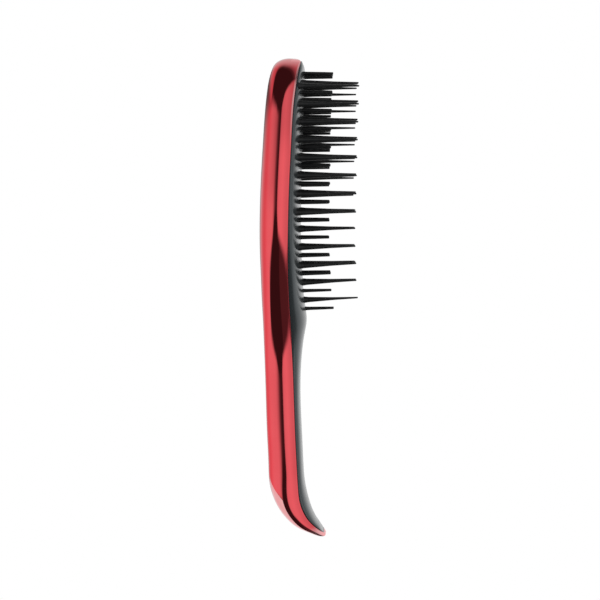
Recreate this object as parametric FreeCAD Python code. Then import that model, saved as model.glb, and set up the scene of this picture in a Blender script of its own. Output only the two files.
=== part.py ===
"""Detangling brush: a hollow back shell, a front moulding set into it, and two tiers of flexible tooth rows.

Lengths are in mm. +Z runs up the handle to the head, +X is the way the teeth point, Y runs across the
brush and Y = 0 is its mid-plane. The origin is the centre of the grip.
"""

import FreeCAD, Part
import math
import os

from FreeCAD import Vector

# Overall sizes of the body
HEAD_REACH = 171.5
TAIL_REACH = 53.6
BODY_DEPTH = 11.3
HEAD_WIDTH = 66.0
NECK_WIDTH = 26.0
GRIP_WIDTH = 29.0

# Heights at which the width turns, from the grip centre
HEAD_WIDEST_HEIGHT = 116.0
NECK_HEIGHT = 24.0
GRIP_WIDEST_DROP = 14.0

# Walls and the joint between the two mouldings
SHELL_WALL = 2.0
FRONT_WALL = 2.2
SEAM_GAP = 0.3
LIP_STEP = 0.25
SHELL_TUCK = 1.3
TONGUE_DEPTH = 3.0
TONGUE_ROOT = 1.0
POCKET_DEPTH = 0.6
POCKET_LEDGE = 0.6
TONGUE_WALL = 1.2
TONGUE_CLEARANCE = 0.3
CUT_OVERRUN = 4.0

# Tooth field: the ends of the upper rows bow down to the handle, less and less from row to row
FIRST_LONG_ROW_DROP = 11.5
FIRST_SHORT_ROW_DROP = 7.2
ROW_PITCH = 8.41
COLUMN_PITCH_SHARE = 0.15
ROW_BOW = 2.8
BOW_FORM_SHARE = 3.0
BOWED_ROWS = 8
LONG_COLUMNS = (6, 6, 6, 6, 6, 6, 6, 6, 4, 4, 4, 2, 1)
SHORT_COLUMNS = (3, 5, 5, 5, 5, 5, 5, 5, 5, 3, 3, 3, 1, 1)

# Teeth: length is from the moulding to the tip, in the middle of a row
LONG_LENGTH = 25.2
LONG_COLLAR_DIAMETER = 3.0
LONG_ROOT_DIAMETER = 2.65
LONG_WAIST_DIAMETER = 1.36
LONG_TIP_DIAMETER = 0.76
SHORT_LENGTH = 13.2
SHORT_COLLAR_DIAMETER = 1.9
SHORT_ROOT_DIAMETER = 1.4
SHORT_WAIST_DIAMETER = 1.16
SHORT_TIP_DIAMETER = 0.96
COLLAR_LENGTH = 1.0
ROOT_GAP = 0.5
ROOT_DOME_RADIUS = 2.4
TIP_CHAMFER = 0.2

# Level cuts through head, neck and grip: height, then back, seam and crown of the front.
# Heights are shares of the head's reach above the origin and of the tail's below it.
LEVEL_CUT_SHARES = (
    (0.9995, 0.088, 0.287, 0.287),
    (0.996, -0.107, 0.530, 0.530),
    (0.987, -0.343, 0.700, 0.785),
    (0.974, -0.464, 0.670, 0.862),
    (0.944, -0.606, 0.581, 0.838),
    (0.910, -0.690, 0.509, 0.825),
    (0.867, -0.760, 0.431, 0.807),
    (0.780, -0.852, 0.349, 0.773),
    (0.680, -0.942, 0.273, 0.737),
    (0.580, -0.994, 0.220, 0.711),
    (0.493, -0.998, 0.195, 0.717),
    (0.406, -0.954, 0.196, 0.783),
    (0.345, -0.919, 0.230, 0.850),
    (0.282, -0.870, 0.284, 0.943),
    (0.258, -0.855, 0.304, 0.880),
    (0.220, -0.832, 0.332, 0.789),
    (0.174, -0.806, 0.367, 0.723),
    (0.087, -0.764, 0.416, 0.690),
    (-0.095, -0.708, 0.481, 0.759),
    (-0.350, -0.654, 0.542, 0.816),
)

# Slanted cuts through the tail: back, seam and crown, each as depth and height, then the width.
TAIL_CUT_SHARES = (
    (-0.615, -0.509, 0.584, -0.504, 0.876, -0.504, 0.98),
    (-0.438, -0.650, 0.664, -0.651, 1.022, -0.651, 0.95),
    (-0.177, -0.757, 0.814, -0.743, 1.159, -0.743, 0.91),
    (0.137, -0.839, 0.991, -0.808, 1.274, -0.800, 0.85),
    (0.558, -0.910, 1.212, -0.862, 1.389, -0.847, 0.76),
    (1.049, -0.955, 1.425, -0.903, 1.496, -0.881, 0.64),
    (1.487, -0.989, 1.611, -0.935, 1.593, -0.918, 0.48),
    (1.726, -0.985, 1.735, -0.957, 1.735, -0.957, 0.28),
)

# Form of the cuts
HEAD_ROUNDNESS_SHARE = 3.0
NECK_SKEW_SHARE = 1.2
WIDEST_SHARE = 0.6
BACK_FORM_SHARES = (2.6, 2.2)
FRONT_FORM_SHARES = (2.6, 2.0)
LIP_CURVE_SHARES = (0.5, 1.0)
ARC_STEPS = 8

# How many cuts at each end are the shell's alone, and how many stay solid
SHELL_TOP_CUTS = 2
SHELL_TAIL_CUTS = 1
SOLID_TOP_CUTS = 3
SOLID_TAIL_CUTS = 4


def half_width(height):
    """Half the width of the shell at a height."""
    head, neck, grip = HEAD_WIDTH / 2, NECK_WIDTH / 2, GRIP_WIDTH / 2
    if height >= HEAD_WIDEST_HEIGHT:
        rise = (height - HEAD_WIDEST_HEIGHT) / (HEAD_REACH - HEAD_WIDEST_HEIGHT)
        return head * (1 - rise**HEAD_ROUNDNESS_SHARE) ** (1 / HEAD_ROUNDNESS_SHARE)
    if height >= NECK_HEIGHT:
        fall = (HEAD_WIDEST_HEIGHT - height) / (HEAD_WIDEST_HEIGHT - NECK_HEIGHT)
        return neck + (head - neck) * (1 + math.cos(math.pi * fall**NECK_SKEW_SHARE)) / 2
    fall = min((NECK_HEIGHT - height) / (NECK_HEIGHT + GRIP_WIDEST_DROP), 1)
    return grip + (neck - grip) * (1 + math.cos(math.pi * fall)) / 2


def height_at(share):
    return share * (HEAD_REACH if share > 0 else TAIL_REACH)


def point_at(depth_share, height_share):
    return Vector(depth_share * BODY_DEPTH, 0, height_at(height_share))


class Cut:
    """One cut through the body: points of its back, seam and crown on the mid-plane, and its half width."""

    def __init__(self, back, seam, crown, half):
        self.back = back
        self.seam = seam
        self.crown = crown
        self.half = half
        self.across = (seam - back).normalize()
        self.tuck = SHELL_TUCK * min(1, half / (NECK_WIDTH / 2))

    def lip_half(self):
        """Half width of the shell's opening edge."""
        return self.half - self.tuck


def body_cuts():
    cuts = []
    for height_share, back, seam, crown in LEVEL_CUT_SHARES:
        points = [point_at(depth, height_share) for depth in (back, seam, crown)]
        cuts.append(Cut(*points, half_width(height_at(height_share))))
    for back_x, back_z, seam_x, seam_z, crown_x, crown_z, width in TAIL_CUT_SHARES:
        points = [point_at(back_x, back_z), point_at(seam_x, seam_z), point_at(crown_x, crown_z)]
        cuts.append(Cut(*points, width * GRIP_WIDTH / 2))
    return cuts


def closed_wire(right_side):
    """A smooth arc through the points of one side and their mirror image, closed by a straight line."""
    left_side = [Vector(p.x, -p.y, p.z) for p in right_side]
    arc = Part.BSplineCurve()
    arc.interpolate(left_side[::-1] + right_side[1:])
    chord = Part.LineSegment(right_side[-1], left_side[-1])
    return Part.Wire([arc.toShape(), chord.toShape()])


def shell_wire(cut, wall, seam_shift):
    """The shell's outline at a cut, thinned by a wall, with its opening moved forward by seam_shift."""
    depth = (cut.seam - cut.back).Length
    widest = WIDEST_SHARE * depth
    depth_form, width_form = BACK_FORM_SHARES
    places = []
    for step in range(ARC_STEPS + 1):
        turn = math.pi / 2 * step / ARC_STEPS
        along = wall + (widest - wall) * (1 - math.cos(turn) ** (2 / depth_form))
        places.append((along, (cut.half - wall) * math.sin(turn) ** (2 / width_form)))
    edge = depth + seam_shift
    for share in LIP_CURVE_SHARES:
        places.append((widest + share * (edge - widest), cut.half - wall - cut.tuck * share**2))
    return closed_wire([cut.back + cut.across * along + Vector(0, out, 0) for along, out in places])


def front_depth_share(out_share):
    """How deep the front stands at a share of its half width, from 1 on the mid-plane to 0 at the seam."""
    depth_form, width_form = FRONT_FORM_SHARES
    return (1 - min(abs(out_share), 1) ** width_form) ** (1 / depth_form)


def dome_side(base, crown, half):
    """One side of a dome over the mid-plane, from its crown out to its edge at half."""
    _, width_form = FRONT_FORM_SHARES
    points = []
    for step in range(ARC_STEPS + 1):
        out_share = math.sin(math.pi / 2 * step / ARC_STEPS) ** (2 / width_form)
        rise = (crown - base) * front_depth_share(out_share)
        points.append(base + rise + Vector(0, half * out_share, 0))
    return points


def front_wire(cut):
    """The front moulding's outline at a cut, just clear of the shell's edge."""
    base = cut.seam + cut.across * SEAM_GAP
    return closed_wire(dome_side(base, cut.crown, cut.lip_half() - LIP_STEP))


def tongue_half(cut):
    return cut.lip_half() - SHELL_WALL - TONGUE_CLEARANCE


def block_wire(cut, behind, ahead, half):
    """A rectangle across the brush, from behind the seam to ahead of it."""
    low = cut.seam - cut.across * behind
    high = cut.seam + cut.across * ahead
    side = Vector(0, half, 0)
    return Part.makePolygon([low - side, high - side, high + side, low + side, low - side])


def tongue_wire(cut):
    """The block behind the seam that fits the shell's opening."""
    return block_wire(cut, TONGUE_DEPTH, SEAM_GAP + TONGUE_ROOT, tongue_half(cut))


def pocket_wire(cut):
    """What the tongue leaves open inside it."""
    return block_wire(cut, TONGUE_DEPTH + CUT_OVERRUN, SEAM_GAP + POCKET_DEPTH, tongue_half(cut) - TONGUE_WALL)


def hollow_wire(cut):
    """The hollow under the dome of the front, opening into the pocket."""
    crown = cut.crown - (cut.crown - cut.seam).normalize() * FRONT_WALL
    return closed_wire(dome_side(cut.seam, crown, tongue_half(cut) - TONGUE_WALL - POCKET_LEDGE))


def loft(wires):
    return Part.makeLoft(wires, True, False)


def back_shell(cuts):
    outside = loft([shell_wire(cut, 0, 0) for cut in cuts])
    hollow_cuts = cuts[SOLID_TOP_CUTS : len(cuts) - SOLID_TAIL_CUTS]
    inside = loft([shell_wire(cut, SHELL_WALL, CUT_OVERRUN) for cut in hollow_cuts])
    return outside.cut(inside)


def front_cuts(cuts):
    """The cuts that the front moulding reaches: all but those of the shell's top edge and tail tip."""
    return cuts[SHELL_TOP_CUTS : len(cuts) - SHELL_TAIL_CUTS]


def front_moulding(cuts):
    """The domed front with its locating tongue, hollow behind."""
    tongue_cuts = cuts[SOLID_TOP_CUTS + 1 : len(cuts) - SOLID_TAIL_CUTS - 1]
    pocket_cuts = tongue_cuts[1:-1]
    outside = loft([front_wire(cut) for cut in front_cuts(cuts)])
    tongue = loft([tongue_wire(cut) for cut in tongue_cuts])
    pocket = loft([pocket_wire(cut) for cut in pocket_cuts])
    hollow = loft([hollow_wire(cut) for cut in pocket_cuts[1:-1]])
    return outside.fuse(tongue).cut(pocket).cut(hollow)


class Tooth:
    """The sizes of one kind of tooth."""

    def __init__(self, length, collar, root, waist, tip):
        self.length = length
        self.collar = collar / 2
        self.root = root / 2
        self.waist = waist / 2
        self.tip = tip / 2


LONG_TOOTH = Tooth(
    LONG_LENGTH, LONG_COLLAR_DIAMETER, LONG_ROOT_DIAMETER, LONG_WAIST_DIAMETER, LONG_TIP_DIAMETER
)
SHORT_TOOTH = Tooth(
    SHORT_LENGTH, SHORT_COLLAR_DIAMETER, SHORT_ROOT_DIAMETER, SHORT_WAIST_DIAMETER, SHORT_TIP_DIAMETER
)


def guide(cuts, pick):
    """A smooth line through one point of every level cut, from the top down."""
    line = Part.BSplineCurve()
    line.interpolate([pick(cut) for cut in cuts[SHELL_TOP_CUTS : len(LEVEL_CUT_SHARES)]])
    return line


def depth_on(line, height):
    """Where a guide line crosses a height."""
    crossings, _ = line.intersectCS(Part.Plane(Vector(0, 0, height), Vector(0, 0, 1)))
    return crossings[0].X


class FrontFace:
    """The front moulding's outer face, for setting teeth on it."""

    def __init__(self, cuts):
        self.seam = guide(cuts, lambda cut: cut.seam)
        self.crown = guide(cuts, lambda cut: cut.crown)

    def depth(self, out, height):
        half = half_width(height) - SHELL_TUCK - LIP_STEP
        seam = depth_on(self.seam, height) + SEAM_GAP
        return seam + (depth_on(self.crown, height) - seam) * front_depth_share(out / half)


def tooth_places(face, columns, top_drop, row):
    """Where the teeth of a row stand on the moulding: one point for each column, ends bowed to the handle."""
    height = HEAD_REACH - top_drop - row * ROW_PITCH
    bow = ROW_BOW * max(0, 1 - row / BOWED_ROWS)
    outermost = (max(LONG_COLUMNS) - 1) / 2
    places = []
    for column in range(columns):
        column_share = (column - (columns - 1) / 2) / outermost
        out = column_share * outermost * COLUMN_PITCH_SHARE * HEAD_WIDTH
        level = height - bow * abs(column_share) ** BOW_FORM_SHARE
        places.append(Vector(face.depth(out, level), out, level))
    return places


def dome_rise(out):
    """How far a tooth's domed root has risen at a distance from its axis."""
    return ROOT_DOME_RADIUS - math.sqrt(ROOT_DOME_RADIUS**2 - out**2)


def tooth_solid(kind, place, tip_depth):
    """A tapered tooth with its tip at tip_depth, on a collar whose domed root is just clear of the moulding."""
    end = tip_depth - place.x
    rim = ROOT_GAP + dome_rise(kind.collar)
    top = rim + COLLAR_LENGTH
    outline = [
        (rim, kind.collar),
        (top, kind.root),
        ((top + end) / 2, kind.waist),
        (end - TIP_CHAMFER, kind.tip),
        (end, kind.tip - TIP_CHAMFER),
        (end, 0),
        (ROOT_GAP, 0),
    ]
    points = [Vector(along, 0, out) for along, out in outline]
    half_way = Vector(ROOT_GAP + dome_rise(kind.collar / 2), 0, kind.collar / 2)
    dome = Part.Arc(points[-1], half_way, points[0]).toShape()
    profile = Part.Face(Part.Wire([*Part.makePolygon(points).Edges, dome]))
    solid = profile.revolve(Vector(0, 0, 0), Vector(1, 0, 0), 360)
    solid.translate(place)
    return solid


def tooth_rows(face, kind, columns_by_row, top_drop):
    """The teeth of each row, from the top of the head down, with the tips of a row in one plane."""
    rows = []
    for row, columns in enumerate(columns_by_row):
        places = tooth_places(face, columns, top_drop, row)
        tip_depth = max(place.x for place in places) + kind.length
        rows.append([tooth_solid(kind, place, tip_depth) for place in places])
    return rows


def write(name, shape):
    shape.exportStep(os.path.join("parts", name + ".step"))


def main():
    os.makedirs("parts", exist_ok=True)
    cuts = body_cuts()
    face = FrontFace(cuts)
    write("back_shell", back_shell(cuts))
    write("front_moulding", front_moulding(cuts))
    long_rows = tooth_rows(face, LONG_TOOTH, LONG_COLUMNS, FIRST_LONG_ROW_DROP)
    short_rows = tooth_rows(face, SHORT_TOOTH, SHORT_COLUMNS, FIRST_SHORT_ROW_DROP)
    for kind, rows in (("long", long_rows), ("short", short_rows)):
        for number, teeth in enumerate(rows, 1):
            write(f"{kind}_row_{number:02}", Part.makeCompound(teeth))


main()
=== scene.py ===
import math

import bpy
import numpy as np
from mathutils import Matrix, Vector


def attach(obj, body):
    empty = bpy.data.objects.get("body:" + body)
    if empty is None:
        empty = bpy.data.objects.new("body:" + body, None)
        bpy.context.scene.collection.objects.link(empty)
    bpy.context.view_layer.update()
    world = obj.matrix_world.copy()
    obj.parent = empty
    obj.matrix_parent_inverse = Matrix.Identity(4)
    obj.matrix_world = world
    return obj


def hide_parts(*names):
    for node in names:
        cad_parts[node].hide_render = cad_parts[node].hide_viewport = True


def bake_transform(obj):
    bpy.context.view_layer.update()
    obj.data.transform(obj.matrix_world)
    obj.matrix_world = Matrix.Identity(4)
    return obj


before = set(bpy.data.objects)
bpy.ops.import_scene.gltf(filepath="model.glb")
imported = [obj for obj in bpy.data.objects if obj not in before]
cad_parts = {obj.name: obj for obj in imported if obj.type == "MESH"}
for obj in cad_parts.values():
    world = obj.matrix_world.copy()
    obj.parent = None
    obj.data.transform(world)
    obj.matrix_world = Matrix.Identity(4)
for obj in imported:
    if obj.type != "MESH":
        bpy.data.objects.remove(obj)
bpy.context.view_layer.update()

MM = 0.001

# The body's sizes, in mm, as the CAD part has them
HEAD_REACH = 171.5
TAIL_REACH = 53.6
BODY_DEPTH = 11.3
HEAD_WIDTH = 66.0
NECK_WIDTH = 26.0
GRIP_WIDTH = 29.0
HEAD_WIDEST_HEIGHT = 116.0
NECK_HEIGHT = 24.0
GRIP_WIDEST_DROP = 14.0
SHELL_TUCK = 1.3
SEAM_GAP = 0.3
LIP_STEP = 0.25

# Level cuts: height, then back, seam and crown of the front
LEVEL_CUT_SHARES = (
    (0.9995, 0.088, 0.287, 0.287),
    (0.996, -0.107, 0.530, 0.530),
    (0.987, -0.343, 0.700, 0.785),
    (0.974, -0.464, 0.670, 0.862),
    (0.944, -0.606, 0.581, 0.838),
    (0.910, -0.690, 0.509, 0.825),
    (0.867, -0.760, 0.431, 0.807),
    (0.780, -0.852, 0.349, 0.773),
    (0.680, -0.942, 0.273, 0.737),
    (0.580, -0.994, 0.220, 0.711),
    (0.493, -0.998, 0.195, 0.717),
    (0.406, -0.954, 0.196, 0.783),
    (0.345, -0.919, 0.230, 0.850),
    (0.282, -0.870, 0.284, 0.943),
    (0.258, -0.855, 0.304, 0.880),
    (0.220, -0.832, 0.332, 0.789),
    (0.174, -0.806, 0.367, 0.723),
    (0.087, -0.764, 0.416, 0.690),
    (-0.095, -0.708, 0.481, 0.759),
    (-0.350, -0.654, 0.542, 0.816),
)

# Slanted cuts through the tail: back, seam and crown, each as depth and height, then the width
TAIL_CUT_SHARES = (
    (-0.615, -0.509, 0.584, -0.504, 0.876, -0.504, 0.99),
    (-0.438, -0.650, 0.664, -0.651, 1.022, -0.651, 0.975),
    (-0.177, -0.757, 0.814, -0.743, 1.159, -0.743, 0.95),
    (0.137, -0.839, 0.991, -0.808, 1.274, -0.800, 0.905),
    (0.558, -0.910, 1.212, -0.862, 1.389, -0.847, 0.83),
    (1.049, -0.955, 1.425, -0.903, 1.496, -0.881, 0.72),
    (1.487, -0.989, 1.611, -0.935, 1.593, -0.918, 0.55),
    (1.726, -0.985, 1.735, -0.957, 1.735, -0.957, 0.31),
)
SHELL_TIP_SHARES = (1.755, -0.970, 1.760, -0.962, 1.760, -0.962, 0.08)
FRONT_TIP_SHARES = (1.600, -0.988, 1.685, -0.948, 1.6846, -0.9476, 0.38)
SHELL_TOP_CUTS = 2
SHELL_TAIL_CUTS = 1

# Form of the cuts
HEAD_ROUNDNESS = 3.0
NECK_SKEW = 1.2
BACK_FORM = (2.6, 2.2)
FRONT_FORM = (2.6, 2.0)
WIDEST_SHARE = 0.6
TAIL_WIDEST_SHARE = 0.48
TAIL_TURN = (20.0, 40.0)

# The flat facet along the back of the tail: drops over which it grows, and its edge as shares of half the width
FACET_RAMP = (20.0, 34.0)
FACET_EDGE_SHARES = (0.35, 0.993)

# The shell's rounded lip, folded in behind the front, and closed to a solid tip between two drops
LIP_ROUND = 0.2
LIP_FOLD = (1.2, 1.4)
LIP_SINK = 0.1
SKIRT_DEPTH = 2.0
SOLID_DROPS = (46.0, 48.0)

# The front's edge behind the lip: along and in from its side
FRONT_EDGE = ((-0.15, 0.1), (-SKIRT_DEPTH, 0.6))

# Thick lacquer: depths below the top for the edge and the lip, drops for the tail tip, growth of the facet
TOP_LACQUER_DEPTHS = (7.0, 1.0)
LIP_LACQUER_DEPTHS = (45.0, 20.0)
TIP_LACQUER_DROPS = (49.0, 52.0)
FACET_LACQUER = (0.1, 0.6)

# How finely the body's meshes are cut
CUT_COUNT = 420
FACET_STEPS = 36
BACK_STEPS = 60
SIDE_STEPS = 16
LIP_STEPS = 6
FRONT_STEPS = 40

# Tooth field, in mm
FIRST_ROW_DROP = {"long": 11.5, "short": 7.2}
ROW_PITCH = 8.41
COLUMN_PITCH = 9.9
OUTERMOST_COLUMN = 2.5
ROW_BOW = 2.8
BOW_FORM = 3
LEAST_BOW = 1.0
BOWED_ROWS = 8
COLUMNS = {
    "long": (6, 6, 6, 6, 6, 6, 6, 6, 4, 4, 4, 2, 1),
    "short": (3, 5, 5, 5, 5, 5, 5, 5, 5, 3, 3, 3, 1, 1),
}

# How much the lower teeth lean up, by height, and each kind's share of it
TOOTH_LEAN = ((76, 84, 93, 118), (0.042, 0.024, 0.016, 0.0))
LEAN_SHARE = {"long": 1.0, "short": 0.6}

# Teeth: places from the moulding's face with the radius there. The foot keeps its length, the shaft stretches.
TOOTH_LENGTH = {"long": 25.2, "short": 13.2}
TOOTH_RADII = {
    "long": ((-0.6, 1.75), (0.0, 1.6), (0.4, 1.46), (1.2, 1.4), (1.6, 1.3), (14.0, 0.68), (25.0, 0.38)),
    "short": ((-0.6, 1.05), (0.0, 0.95), (0.4, 0.86), (1.0, 0.86), (1.3, 0.82), (7.5, 0.72), (12.8, 0.6)),
}
TIP_CHAMFER = 0.2
FOOT = (-0.6, 2.4)
FOOT_RINGS = 11
SHAFT_START = 3.2
SHAFT_RINGS = 12
TOOTH_SIDES = 20

# The photograph's frame, in pixels, and the camera
PHOTO_SIDE = 600
PIXELS_PER_MM = 2.12
ORIGIN_PIXEL = (284, 425)
EYE_PIXEL = (313, 214)
EYE_DISTANCE = 700.0
SENSOR_WIDTH = 36.0

# The light tent seen in reflections. Degrees: azimuth is 0 at the camera and below zero to its left.
TENT_RADIUS = 3.0
TENT_COLUMNS = 360
TENT_ROWS = 180
LEFT_WALL = (
    (-174, -166, -150, -120, -45, -30, -20, -12, -5),
    (0.2, 0.82, 0.88, 1, 0.95, 0.78, 0.5, 0.17, 0.02),
)
LEFT_DIMMING = ((-120, -75, -45, -20), (0.12, 0.25, 0.42, 0.45))
LEFT_DIMMED_FROM = (-8, 15)
RIGHT_WALL = ((2, 5, 10, 25, 45, 60, 90, 120), (0.02, 0.75, 0.92, 1, 0.8, 0.65, 0.9, 1))
RIGHT_DIMMING = 0.18
RIGHT_DIMMED_FROM = (3, 17)
WALL_TOP = (
    (-165, -150, -120, -90, -60, -30, 0, 5, 12, 20, 30, 45),
    (7, 11, 19, 25, 29, 27, 26, 33, 43, 47, 50, 52),
)
WALL_BOTTOM = (
    (-120, -105, -90, -60, -30, -20, -10, 3, 10, 20, 30, 45, 60),
    (-44, -33, -23, -24, -21, -16, -9, -8, -21, -24, -26, -28, -29),
)
WALL_SOFTNESS = 4

# The lit upper back of the tent, by the angle over its top towards an azimuth, and the white ground behind
BACK_AZIMUTH = 140
BACK_LEVELS = ((91, 97, 101.5, 109, 116, 126), (0, 0.06, 0.25, 0.52, 0.65, 0.72))
BACK_RISE = (8, 16)
GROUND_LEVEL = 0.95
GROUND_SIDES = (118, 140)
GROUND_DROP = (10, 18)

# What the dark parts still give, and a weak glow of the ground to the right of the camera
TENT_DARK = 0.04
GLOW_LEVEL = 0.045
GLOW_FROM = (14, 20)
GLOW_TO = (60, 90)
GLOW_DROP = (0, 10)

# Lamps, fill light and floor, in metres and watts
LAMP_PLACES = {"left_softbox": (-0.7, -0.6, 0.25), "right_softbox": (0.8, -0.5, 0.25)}
LAMP_AIM = (0, 0, 0.06)
LAMP_SIZE = (0.6, 0.9)
LAMP_POWER = 9
FILL_LIGHT = 0.55
FLOOR_SIDE = 1.5
FLOOR_LEVEL = -0.16
FLOOR_FADE = (0.18, 0.24)


def ease(low, high, value):
    """0 below low, 1 above high, smooth between."""
    share = np.clip((value - low) / (high - low), 0, 1)
    return share * share * (3 - 2 * share)


def half_width(height):
    """Half the width of the shell at a height, in mm."""
    head, neck, grip = HEAD_WIDTH / 2, NECK_WIDTH / 2, GRIP_WIDTH / 2
    if height >= HEAD_WIDEST_HEIGHT:
        rise = (height - HEAD_WIDEST_HEIGHT) / (HEAD_REACH - HEAD_WIDEST_HEIGHT)
        return head * (1 - rise**HEAD_ROUNDNESS) ** (1 / HEAD_ROUNDNESS)
    if height >= NECK_HEIGHT:
        fall = (HEAD_WIDEST_HEIGHT - height) / (HEAD_WIDEST_HEIGHT - NECK_HEIGHT)
        return neck + (head - neck) * (1 + math.cos(math.pi * fall**NECK_SKEW)) / 2
    fall = min((NECK_HEIGHT - height) / (NECK_HEIGHT + GRIP_WIDEST_DROP), 1)
    return grip + (neck - grip) * (1 + math.cos(math.pi * fall)) / 2


def level_cut(shares):
    """A level cut as back x and z, seam x and z, crown x and z, and half width, in mm."""
    height = shares[0] * (HEAD_REACH if shares[0] > 0 else TAIL_REACH)
    places = [v for depth in shares[1:] for v in (depth * BODY_DEPTH, height)]
    return places + [half_width(height)]


def tail_cut(shares):
    """A slanted cut, given like a level one."""
    places = [v * (BODY_DEPTH, TAIL_REACH)[i % 2] for i, v in enumerate(shares[:6])]
    return places + [shares[6] * GRIP_WIDTH / 2]


def cut_table():
    return [level_cut(shares) for shares in LEVEL_CUT_SHARES] + [tail_cut(shares) for shares in TAIL_CUT_SHARES]


def cubic(knots, values, at):
    """A natural cubic spline through values at knots, read at other places."""
    n = len(knots)
    step = np.diff(knots)
    system = np.eye(n)
    right = np.zeros((n, values.shape[1]))
    for i in range(1, n - 1):
        system[i, i - 1 : i + 2] = step[i - 1], 2 * (step[i - 1] + step[i]), step[i]
        right[i] = 6 * ((values[i + 1] - values[i]) / step[i] - (values[i] - values[i - 1]) / step[i - 1])
    bend = np.linalg.solve(system, right)
    i = np.clip(np.searchsorted(knots, at) - 1, 0, n - 2)
    a = ((knots[i + 1] - at) / step[i])[:, None]
    b = 1 - a
    square = (step[i] ** 2 / 6)[:, None]
    return a * values[i] + b * values[i + 1] + ((a**3 - a) * bend[i] + (b**3 - b) * bend[i + 1]) * square


def dense_cuts(table):
    """The cuts of a table, filled in smoothly."""
    table = np.array(table)
    travel = np.sqrt((np.diff(table, axis=0) ** 2).sum(1))
    knots = np.concatenate([[0], np.cumsum(travel)])
    return cubic(knots, table, np.linspace(0, knots[-1], CUT_COUNT))


def unit(x, z):
    length = math.hypot(x, z)
    return np.array([x / length, 0, z / length])


def tuck_of(half):
    return SHELL_TUCK * min(1, half / (NECK_WIDTH / 2))


def back_point(widest, half, turn):
    """A point of the rounded back: along from the spine, and out from the mid-plane."""
    return widest * (1 - math.cos(turn) ** (2 / BACK_FORM[0])), half * math.sin(turn) ** (2 / BACK_FORM[1])


def back_side(widest, half, facet):
    """The back from the spine to the widest point, with the part next to the spine flattened to an edge."""
    low, high = FACET_EDGE_SHARES
    first_turn = math.asin((low + (high - low) * facet) ** (BACK_FORM[1] / 2))
    sag, edge = back_point(widest, half, first_turn)
    places = []
    for step in range(FACET_STEPS):
        share = step / FACET_STEPS
        places.append((sag * share ** BACK_FORM[1], edge * share))
    for step in range(BACK_STEPS - FACET_STEPS + 1):
        share = step / (BACK_STEPS - FACET_STEPS)
        places.append(back_point(widest, half, first_turn + (math.pi / 2 - first_turn) * share))
    return places


def lip_side(depth, lip, solid):
    """The rounded lip and the fold behind it, which closes over the middle as solid goes from 0 to 1."""
    places = []
    for step in range(1, LIP_STEPS + 1):
        turn = math.pi / 2 * step / LIP_STEPS
        along = depth - LIP_ROUND + LIP_ROUND * math.sin(turn)
        places.append((along, lip + LIP_ROUND * math.cos(turn)))
    open_share = 1 - solid
    places.append((depth - LIP_SINK, (lip - LIP_FOLD[0]) * open_share))
    places.append((depth - LIP_SINK - SKIRT_DEPTH * open_share, (lip - LIP_FOLD[1]) * open_share))
    return places


def shell_side(line):
    """One side of the shell's section at a cut, from the spine out and round its lip: along and out, in mm."""
    back_x, back_z, seam_x, seam_z, _, _, half = line
    depth = math.hypot(seam_x - back_x, seam_z - back_z)
    widest_share = WIDEST_SHARE + (TAIL_WIDEST_SHARE - WIDEST_SHARE) * ease(*TAIL_TURN, -back_z)
    widest = widest_share * depth
    tuck = tuck_of(half)
    places = back_side(widest, half, ease(*FACET_RAMP, -back_z))
    for step in range(1, SIDE_STEPS + 1):
        share = step / SIDE_STEPS
        places.append((widest + share * (depth - LIP_ROUND - widest), half - tuck * share**2))
    return places + lip_side(depth, half - tuck - LIP_ROUND, ease(*SOLID_DROPS, -back_z))


def shell_origin(line):
    """Where a section of the shell starts, and the way it runs."""
    return np.array([line[0], 0, line[1]]), unit(line[2] - line[0], line[3] - line[1])


def front_side(line):
    """One side of the front moulding's section at a cut, from its crown out and back behind the shell's lip."""
    _, _, seam_x, seam_z, crown_x, crown_z, half = line
    reach = math.hypot(crown_x - seam_x, crown_z - seam_z) - SEAM_GAP
    edge = half - tuck_of(half) - LIP_STEP
    places = []
    for step in range(FRONT_STEPS + 1):
        turn = math.pi / 2 * step / FRONT_STEPS
        rise = reach * math.cos(turn) ** (2 / FRONT_FORM[0])
        places.append((rise, edge * math.sin(turn) ** (2 / FRONT_FORM[1])))
    return places + [(along, edge - inset) for along, inset in FRONT_EDGE]


def front_origin(line):
    """Where a section of the front starts, and the way it runs."""
    across = unit(line[4] - line[2], line[5] - line[3])
    return np.array([line[2], 0, line[3]]) + across * SEAM_GAP, across


def mesh_object(name, points, faces):
    mesh = bpy.data.meshes.new(name)
    mesh.from_pydata(points, [], faces)
    mesh.update()
    obj = bpy.data.objects.new(name, mesh)
    bpy.context.scene.collection.objects.link(obj)
    return obj


def surface(name, rows):
    """A smooth mesh over rows of points, in mm, with a fan at each end."""
    count, width, _ = rows.shape
    flat = rows.reshape(-1, 3) * MM
    points = [tuple(p) for p in flat]
    faces = []
    for i in range(count - 1):
        for j in range(width - 1):
            a = i * width + j
            faces.append((a, a + 1, a + width + 1, a + width))
    for first, order in ((0, -1), ((count - 1) * width, 1)):
        ring = list(range(first, first + width))
        points.append(tuple(flat[ring].mean(0)))
        for j in range(width - 1):
            faces.append((ring[j], ring[j + 1], len(points) - 1)[::order])
    obj = mesh_object(name, points, faces)
    obj.data.polygons.foreach_set("use_smooth", [True] * len(faces))
    return obj


def swept(name, lines, side_of, origin_of):
    """A surface whose section at each cut is side_of mirrored over the mid-plane."""
    rows = []
    for line in lines:
        base, along = origin_of(line)
        right = np.array([base + along * a + np.array([0, out, 0]) for a, out in side_of(line)])
        left = right * np.array([1, -1, 1])
        rows.append(np.concatenate([left[::-1], right[1:]]))
    return surface(name, np.array(rows))


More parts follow.
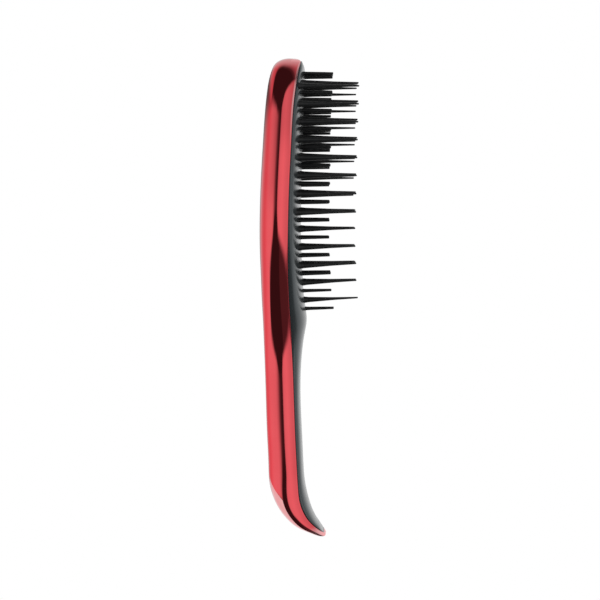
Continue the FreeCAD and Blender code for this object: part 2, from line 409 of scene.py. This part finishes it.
def mark_lacquer(mesh, lines):
    """Stores how thick the clear lacquer lies, 0 to 1: most on the tail's facet and tip, top and lip."""
    width = (len(mesh.vertices) - 2) // len(lines)
    from_spine = np.abs(np.arange(width) - width // 2)
    on_facet = from_spine <= FACET_STEPS
    on_lip = from_spine >= BACK_STEPS + SIDE_STEPS - 1
    levels = []
    for line in lines:
        height = line[1]
        facet = ease(*FACET_LACQUER, ease(*FACET_RAMP, -height))
        lip = ease(*(HEAD_REACH - depth for depth in LIP_LACQUER_DEPTHS), height)
        top = ease(*(HEAD_REACH - depth for depth in TOP_LACQUER_DEPTHS), height)
        tip = ease(*TIP_LACQUER_DROPS, -height)
        levels.extend(np.maximum(np.maximum(on_facet * facet, on_lip * lip), max(top, tip)))
    mesh.attributes.new("lacquer", "FLOAT", "POINT").data.foreach_set("value", levels + [1.0, 1.0])


class FrontFace:
    """The front moulding's outer face, for setting teeth on it."""

    def __init__(self, lines):
        level = lines[lines[:, 1] > 0]
        order = np.argsort(level[:, 5])
        self.height = level[order, 5]
        self.seam = level[order, 2]
        self.crown = level[order, 4]

    def depth(self, out, height):
        half = half_width(height) - SHELL_TUCK - LIP_STEP
        seam = np.interp(height, self.height, self.seam) + SEAM_GAP
        crown = np.interp(height, self.height, self.crown)
        share = (1 - min(abs(out) / half, 1) ** FRONT_FORM[1]) ** (1 / FRONT_FORM[0])
        return seam + (crown - seam) * share


def row_height(kind, number):
    return HEAD_REACH - FIRST_ROW_DROP[kind] - number * ROW_PITCH


def row_spots(kind, number, face):
    """Where the teeth of a row stand: depth, out and height of each. The ends of a row bow to the handle."""
    height = row_height(kind, number)
    columns = COLUMNS[kind][number]
    bow = max(ROW_BOW * (1 - number / BOWED_ROWS), LEAST_BOW)
    spots = []
    for column in range(columns):
        out = (column - (columns - 1) / 2) * COLUMN_PITCH
        low = height - bow * abs(out / (OUTERMOST_COLUMN * COLUMN_PITCH)) ** BOW_FORM
        spots.append((face.depth(out, low), out, low))
    return spots


def tooth_rings(kind, length):
    """Places and radii along one tooth, from under the moulding's face to its tip."""
    places, radii = (np.array(v) for v in zip(*TOOTH_RADII[kind]))
    stretched = np.where(places > FOOT[1], places * length / TOOTH_LENGTH[kind], places)
    foot = np.linspace(*FOOT, FOOT_RINGS)
    shaft = np.linspace(SHAFT_START, length - TIP_CHAMFER, SHAFT_RINGS)
    rings = np.concatenate([foot, shaft])
    out = np.interp(rings, stretched, radii)
    return np.append(rings, length), np.append(out, out[-1] - TIP_CHAMFER)


def tooth_points(spot, places, radii, lean):
    """The points of one tooth, ring by ring, in metres."""
    root, out, low = spot
    turns = 2 * math.pi * np.arange(TOOTH_SIDES) / TOOTH_SIDES
    points = []
    for place, radius in zip(places, radii):
        centre = np.array([root + place, out, low + lean * max(place, 0)])
        for turn in turns:
            spoke = np.array([0, math.cos(turn), math.sin(turn)])
            points.append(tuple((centre + radius * spoke) * MM))
    return points


def tooth_faces(first, ring_count):
    """The faces of one tooth whose points start at first: its side, then its flat tip."""
    faces = []
    for ring in range(ring_count - 1):
        start = first + ring * TOOTH_SIDES
        for side in range(TOOTH_SIDES):
            a = start + side
            b = start + (side + 1) % TOOTH_SIDES
            faces.append((a, b, b + TOOTH_SIDES, a + TOOTH_SIDES))
    tip = first + (ring_count - 1) * TOOTH_SIDES
    faces.append(tuple(range(tip, tip + TOOTH_SIDES)))
    return faces


def tooth_row(kind, number, face):
    """All the teeth of a row as one mesh, with their tips in one plane, and the depth of the foremost root."""
    spots = row_spots(kind, number, face)
    deepest = max(spot[0] for spot in spots)
    lean = LEAN_SHARE[kind] * np.interp(row_height(kind, number), *TOOTH_LEAN)
    points, faces = [], []
    for spot in spots:
        places, radii = tooth_rings(kind, deepest + TOOTH_LENGTH[kind] - spot[0])
        faces += tooth_faces(len(points), len(places))
        points += tooth_points(spot, places, radii, lean)
    obj = mesh_object(f"{kind}_teeth_{number + 1:02}", points, faces)
    obj.data.polygons.foreach_set("use_smooth", [len(face) == 4 for face in faces])
    return obj, deepest


def material(name, metallic):
    made = bpy.data.materials.new(name)
    made.use_nodes = True
    shader = made.node_tree.nodes["Principled BSDF"]
    shader.inputs["Metallic"].default_value = metallic
    return made, made.node_tree, shader


def noise(tree, scale, detail):
    """A noise texture in the object's own metres."""
    place = tree.nodes.new("ShaderNodeTexCoord")
    made = tree.nodes.new("ShaderNodeTexNoise")
    made.inputs["Scale"].default_value = scale
    made.inputs["Detail"].default_value = detail
    tree.links.new(place.outputs["Object"], made.inputs["Vector"])
    return made.outputs["Fac"]


def spread(tree, source, low, high):
    """Maps a noise's middle values to a range."""
    made = tree.nodes.new("ShaderNodeMapRange")
    made.inputs["From Min"].default_value = 0.3
    made.inputs["From Max"].default_value = 0.7
    made.inputs["To Min"].default_value = low
    made.inputs["To Max"].default_value = high
    tree.links.new(source, made.inputs["Value"])
    return made.outputs["Result"]


def bump(tree, shader, source, strength, distance):
    made = tree.nodes.new("ShaderNodeBump")
    made.inputs["Strength"].default_value = strength
    made.inputs["Distance"].default_value = distance
    tree.links.new(source, made.inputs["Height"])
    tree.links.new(made.outputs["Normal"], shader.inputs["Normal"])


def tint(tree, shader, source, low, high):
    """Colours a surface between two colours by a noise."""
    made = tree.nodes.new("ShaderNodeMix")
    made.data_type = "RGBA"
    made.inputs["A"].default_value = (*low, 1)
    made.inputs["B"].default_value = (*high, 1)
    tree.links.new(spread(tree, source, 0, 1), made.inputs["Factor"])
    tree.links.new(made.outputs["Result"], shader.inputs["Base Color"])


def clear_coat(tree, shader, thin, thick):
    """A clear lacquer whose weight follows the stored lacquer level."""
    shader.inputs["Coat IOR"].default_value = 4.0
    shader.inputs["Coat Roughness"].default_value = 0.04
    lacquer = tree.nodes.new("ShaderNodeAttribute")
    lacquer.attribute_name = "lacquer"
    weight = tree.nodes.new("ShaderNodeMapRange")
    weight.inputs["To Min"].default_value = thin
    weight.inputs["To Max"].default_value = thick
    tree.links.new(lacquer.outputs["Fac"], weight.inputs["Value"])
    tree.links.new(weight.outputs["Result"], shader.inputs["Coat Weight"])


def red_metal():
    """Metallised red coat: mirror-like, with a faint unevenness in gloss and depth of colour."""
    made, tree, shader = material("red_metal", 1.0)
    shader.inputs["Specular Tint"].default_value = (0.9, 0.4, 0.42, 1)
    clear_coat(tree, shader, 0.07, 1.0)
    tint(tree, shader, noise(tree, 60, 3), (0.78, 0.072, 0.089), (0.82, 0.084, 0.101))
    fine = noise(tree, 900, 4)
    tree.links.new(spread(tree, fine, 0.04, 0.08), shader.inputs["Roughness"])
    return made


def grey_satin():
    """Dark grey satin plastic with a fine moulded grain."""
    made, tree, shader = material("grey_satin", 0.0)
    shader.inputs["Specular IOR Level"].default_value = 0.85
    shader.inputs["Specular Tint"].default_value = (0.9, 0.97, 1.0, 1)
    tint(tree, shader, noise(tree, 90, 4), (0.011, 0.0133, 0.0142), (0.015, 0.0177, 0.0188))
    grain = noise(tree, 2600, 3)
    tree.links.new(spread(tree, grain, 0.16, 0.24), shader.inputs["Roughness"])
    bump(tree, shader, grain, 0.12, 0.0002)
    return made


def black_tooth():
    """Near-black flexible plastic with a faint grain."""
    made, tree, shader = material("black_tooth", 0.0)
    shader.inputs["Specular IOR Level"].default_value = 0.3
    tint(tree, shader, noise(tree, 220, 3), (0.004, 0.0043, 0.0046), (0.0065, 0.0069, 0.0073))
    grain = noise(tree, 1800, 2)
    tree.links.new(spread(tree, grain, 0.33, 0.44), shader.inputs["Roughness"])
    bump(tree, shader, grain, 0.06, 0.0001)
    return made


def build_shell(table):
    lines = dense_cuts(table + [tail_cut(SHELL_TIP_SHARES)])
    shell = swept("shell", lines, shell_side, shell_origin)
    mark_lacquer(shell.data, lines)
    shell.data.materials.append(red_metal())
    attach(shell, "brush_body")
    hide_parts("back_shell")


def build_front(lines):
    front = swept("front", lines, front_side, front_origin)
    front.data.materials.append(grey_satin())
    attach(front, "brush_body")
    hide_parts("front_moulding")


def build_teeth(face):
    """Every row of teeth as one mesh on the moulding's face, in place of its CAD row, which is hidden."""
    black = black_tooth()
    for kind, columns_by_row in COLUMNS.items():
        for number in range(len(columns_by_row)):
            row, depth = tooth_row(kind, number, face)
            row.data.materials.append(black)
            node = f"{kind}_row_{number + 1:02}"
            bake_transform(row)
            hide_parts(node)


def build_brush():
    table = cut_table()
    build_shell(table)
    front_table = table[SHELL_TOP_CUTS : len(table) - SHELL_TAIL_CUTS]
    front_lines = dense_cuts(front_table + [tail_cut(FRONT_TIP_SHARES)])
    build_front(front_lines)
    build_teeth(FrontFace(front_lines))


def background(tree, strength):
    made = tree.nodes.new("ShaderNodeBackground")
    made.inputs["Strength"].default_value = strength
    made.inputs["Color"].default_value = (1, 1, 1, 1)
    return made.outputs[0]


def seen_directly(tree):
    """1 for rays from the camera and for what is seen in gloss or glass, else 0."""
    path = tree.nodes.new("ShaderNodeLightPath")
    total = path.outputs["Is Camera Ray"]
    for name in ("Is Glossy Ray", "Is Transmission Ray"):
        add = tree.nodes.new("ShaderNodeMath")
        add.operation = "ADD"
        add.use_clamp = True
        tree.links.new(total, add.inputs[0])
        tree.links.new(path.outputs[name], add.inputs[1])
        total = add.outputs[0]
    return total


def build_world():
    """White where it is seen, and a weaker fill light elsewhere."""
    world = bpy.data.worlds.new("studio")
    bpy.context.scene.world = world
    world.use_nodes = True
    tree = world.node_tree
    tree.nodes.clear()
    mix = tree.nodes.new("ShaderNodeMixShader")
    tree.links.new(seen_directly(tree), mix.inputs[0])
    tree.links.new(background(tree, FILL_LIGHT), mix.inputs[1])
    tree.links.new(background(tree, 1.0), mix.inputs[2])
    out = tree.nodes.new("ShaderNodeOutputWorld")
    tree.links.new(mix.outputs[0], out.inputs["Surface"])


def build_lamp(name, place):
    data = bpy.data.lights.new(name, "AREA")
    data.shape = "RECTANGLE"
    data.size, data.size_y = LAMP_SIZE
    data.energy = LAMP_POWER
    obj = bpy.data.objects.new(name, data)
    obj.location = place
    obj.rotation_mode = "QUATERNION"
    obj.rotation_quaternion = (Vector(LAMP_AIM) - Vector(place)).to_track_quat("-Z", "Y")
    obj.visible_glossy = False
    bpy.context.scene.collection.objects.link(obj)


def wall_level(azimuth, elevation):
    """The two bright walls of the tent, left and right of the camera's dark slot."""
    if azimuth < 0:
        dimming = np.interp(azimuth, *LEFT_DIMMING) * ease(*LEFT_DIMMED_FROM, elevation)
        wall = np.interp(azimuth, *LEFT_WALL)
    else:
        dimming = RIGHT_DIMMING * ease(*RIGHT_DIMMED_FROM, elevation)
        wall = np.interp(azimuth, *RIGHT_WALL)
    below_top = ease(-WALL_SOFTNESS, WALL_SOFTNESS, np.interp(azimuth, *WALL_TOP) - elevation)
    above_bottom = ease(-WALL_SOFTNESS, WALL_SOFTNESS, elevation - np.interp(azimuth, *WALL_BOTTOM))
    return wall * (1 - dimming) * below_top * above_bottom


def back_level(azimuth, elevation):
    """The lit upper part behind the brush."""
    turn, rise = math.radians(azimuth - BACK_AZIMUTH), math.radians(elevation)
    over_top = math.degrees(math.atan2(math.sin(rise), -math.cos(rise) * math.cos(turn)))
    return np.interp(over_top, *BACK_LEVELS) * ease(*BACK_RISE, elevation)


def ground_level(azimuth, elevation):
    """The white ground behind the brush."""
    return GROUND_LEVEL * ease(*GROUND_SIDES, abs(azimuth)) * ease(*GROUND_DROP, -elevation)


def tent_level(azimuth, elevation):
    """Brightness of the light tent in a direction, 0 to 1."""
    lit = max(level(azimuth, elevation) for level in (wall_level, back_level, ground_level))
    glow = ease(*GLOW_FROM, azimuth) * (1 - ease(*GLOW_TO, azimuth)) * ease(*GLOW_DROP, -elevation)
    dark = TENT_DARK + GLOW_LEVEL * glow
    return float(dark + (1 - dark) * lit)


def tent_material():
    """Glows by the level stored on the mesh."""
    made = bpy.data.materials.new("light_tent")
    made.use_nodes = True
    tree = made.node_tree
    tree.nodes.clear()
    stored = tree.nodes.new("ShaderNodeAttribute")
    stored.attribute_name = "level"
    glow = tree.nodes.new("ShaderNodeEmission")
    tree.links.new(stored.outputs["Fac"], glow.inputs["Strength"])
    out = tree.nodes.new("ShaderNodeOutputMaterial")
    tree.links.new(glow.outputs[0], out.inputs["Surface"])
    return made


def build_tent():
    """A large light tent with a dark lens slot, roof and lower front, seen only in reflections."""
    points, faces, levels = [], [], []
    for j in range(TENT_ROWS + 1):
        elevation = -90 + 180 * j / TENT_ROWS
        flat = TENT_RADIUS * math.cos(math.radians(elevation))
        height = TENT_RADIUS * math.sin(math.radians(elevation))
        for i in range(TENT_COLUMNS + 1):
            azimuth = -180 + 360 * i / TENT_COLUMNS
            turn = math.radians(azimuth)
            points.append((flat * math.sin(turn), -flat * math.cos(turn), height))
            levels.append(tent_level(azimuth, elevation))
    width = TENT_COLUMNS + 1
    for j in range(TENT_ROWS):
        for i in range(TENT_COLUMNS):
            a = j * width + i
            faces.append((a, a + 1, a + width + 1, a + width))
    obj = mesh_object("light_tent", points, faces)
    obj.data.attributes.new("level", "FLOAT", "POINT").data.foreach_set("value", levels)
    obj.data.materials.append(tent_material())
    obj.visible_camera = False
    obj.visible_diffuse = False
    obj.visible_shadow = False
    obj.visible_transmission = False


def floor_material():
    """Pale near the brush, where it keeps the shadow, and clear further out, where the white ground shows."""
    made, tree, shader = material("floor", 0.0)
    shader.inputs["Base Color"].default_value = (0.85, 0.85, 0.85, 1)
    shader.inputs["Roughness"].default_value = 0.7
    place = tree.nodes.new("ShaderNodeTexCoord")
    distance = tree.nodes.new("ShaderNodeVectorMath")
    distance.operation = "LENGTH"
    tree.links.new(place.outputs["Object"], distance.inputs[0])
    fade = tree.nodes.new("ShaderNodeMapRange")
    fade.interpolation_type = "SMOOTHSTEP"
    fade.inputs["From Min"].default_value = FLOOR_FADE[0]
    fade.inputs["From Max"].default_value = FLOOR_FADE[1]
    tree.links.new(distance.outputs["Value"], fade.inputs["Value"])
    clear = tree.nodes.new("ShaderNodeBsdfTransparent")
    mix = tree.nodes.new("ShaderNodeMixShader")
    tree.links.new(fade.outputs["Result"], mix.inputs[0])
    tree.links.new(shader.outputs[0], mix.inputs[1])
    tree.links.new(clear.outputs[0], mix.inputs[2])
    tree.links.new(mix.outputs[0], tree.nodes["Material Output"].inputs["Surface"])
    return made


def build_floor():
    corners = [(-1, -1), (1, -1), (1, 1), (-1, 1)]
    points = [(x * FLOOR_SIDE, y * FLOOR_SIDE, FLOOR_LEVEL) for x, y in corners]
    obj = mesh_object("floor", points, [(0, 1, 2, 3)])
    obj.data.materials.append(floor_material())
    obj.visible_glossy = False


def build_studio():
    build_world()
    for name, place in LAMP_PLACES.items():
        build_lamp(name, place)
    build_tent()
    build_floor()


def at_pixel(x, y):
    """The point of the mid-plane at a pixel of the photograph, in metres."""
    across, up = x - ORIGIN_PIXEL[0], ORIGIN_PIXEL[1] - y
    return Vector((across, 0, up)) / PIXELS_PER_MM * MM


def build_camera():
    data = bpy.data.cameras.new("camera")
    obj = bpy.data.objects.new("camera", data)
    bpy.context.scene.collection.objects.link(obj)
    eye = at_pixel(*EYE_PIXEL) + Vector((0, -EYE_DISTANCE * MM, 0))
    aim = at_pixel(PHOTO_SIDE / 2, PHOTO_SIDE / 2)
    obj.location = eye
    obj.rotation_mode = "QUATERNION"
    obj.rotation_quaternion = (aim - eye).to_track_quat("-Z", "Y")
    data.sensor_width = SENSOR_WIDTH
    data.lens = (aim - eye).length / MM * PIXELS_PER_MM / PHOTO_SIDE * SENSOR_WIDTH
    data.clip_start = 0.01
    bpy.context.scene.camera = obj


bpy.context.scene.view_settings.view_transform = "Standard"
build_brush()
build_studio()
build_camera()
